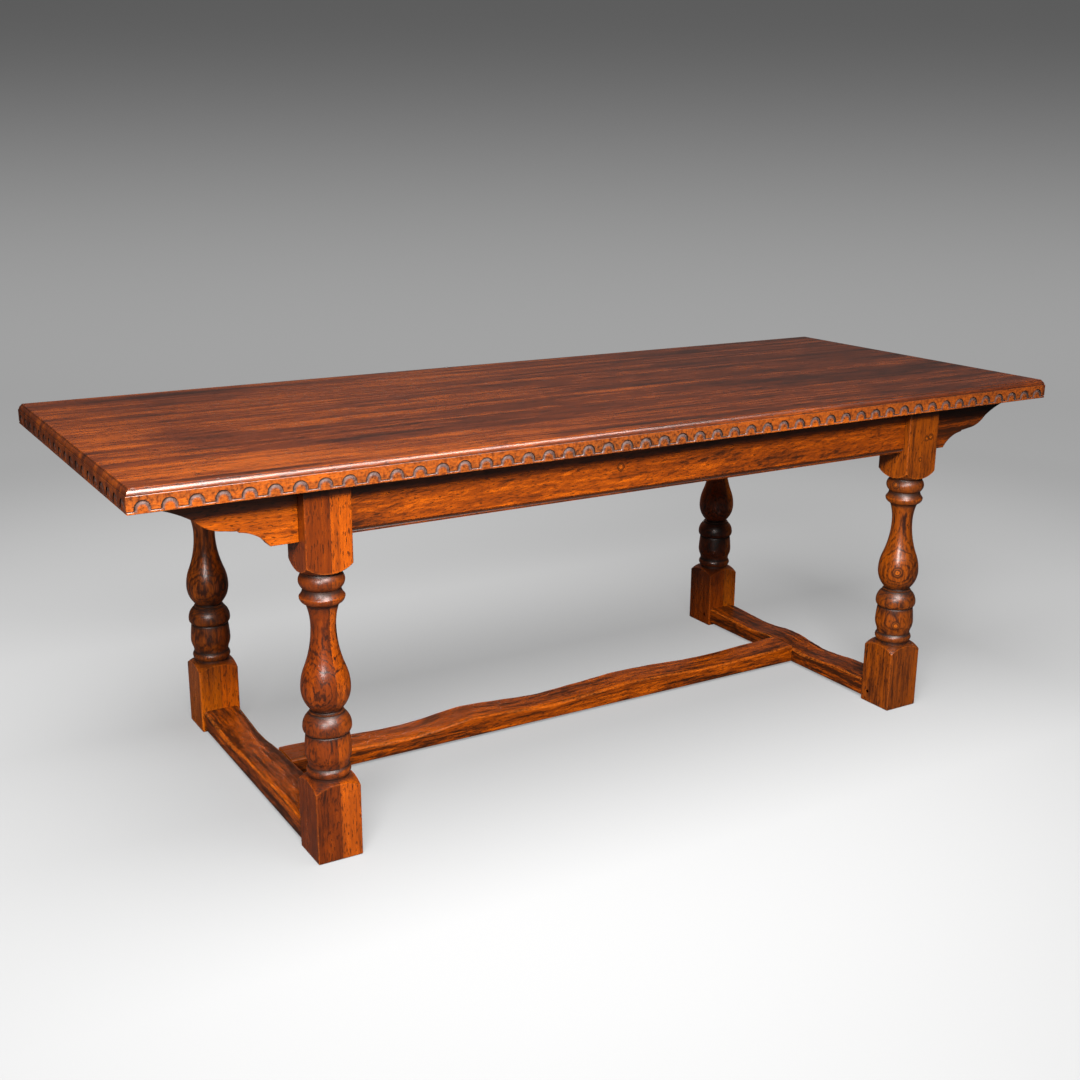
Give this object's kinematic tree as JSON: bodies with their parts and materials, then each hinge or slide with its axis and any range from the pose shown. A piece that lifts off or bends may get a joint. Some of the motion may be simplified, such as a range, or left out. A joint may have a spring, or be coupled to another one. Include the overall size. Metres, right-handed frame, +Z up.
{
  "type": "refectory table",
  "caption": "Long oak dining table with a plank top carved along its edge, on turned legs joined by rails and low stretchers.",
  "frame": {"origin": "on the floor under the middle of the top", "axes": "+X along the length of the table to the viewer's right, +Y towards its back, +Z up"},
  "size_m": [2.134, 0.838, 0.762],
  "materials": {
    "top_oak": "waxed and polished oak, dark red-brown with warm streaks",
    "leg_oak_red": "waxed and polished oak, the redder half of each leg",
    "leg_oak_gold": "waxed and polished oak, the more golden half of each leg",
    "rail_oak": "waxed oak with ray figure",
    "bracket_oak": "waxed oak",
    "stretcher_oak": "waxed oak with worn arrises",
    "plain_oak": "unfinished oak, inside the joints and under the top",
    "screw_steel": "dull steel"
  },
  "bodies": {
    "root": {"top_board_front": "top_oak", "top_board_mid_front": "top_oak", "top_board_mid_back": "top_oak", "top_board_back": "top_oak", "top_tongues": "plain_oak", "leg_front_left_outer": "leg_oak_red", "leg_front_left_inner": "leg_oak_gold", "leg_front_right_outer": "leg_oak_gold", "leg_front_right_inner": "leg_oak_red", "leg_back_left_outer": "leg_oak_red", "leg_back_left_inner": "leg_oak_gold", "leg_back_right_outer": "leg_oak_gold", "leg_back_right_inner": "leg_oak_red", "rail_front": "rail_oak", "rail_back": "rail_oak", "rail_left": "rail_oak", "rail_right": "rail_oak", "bracket_front_left": "bracket_oak", "bracket_front_right": "bracket_oak", "bracket_back_left": "bracket_oak", "bracket_back_right": "bracket_oak", "stretcher_left": "stretcher_oak", "stretcher_right": "stretcher_oak", "stretcher_long": "stretcher_oak", "rail_pegs": "plain_oak", "stretcher_pegs": "plain_oak", "top_buttons": "plain_oak", "button_screws": "screw_steel", "bracket_screws": "screw_steel"}
  },
  "joints": []
}
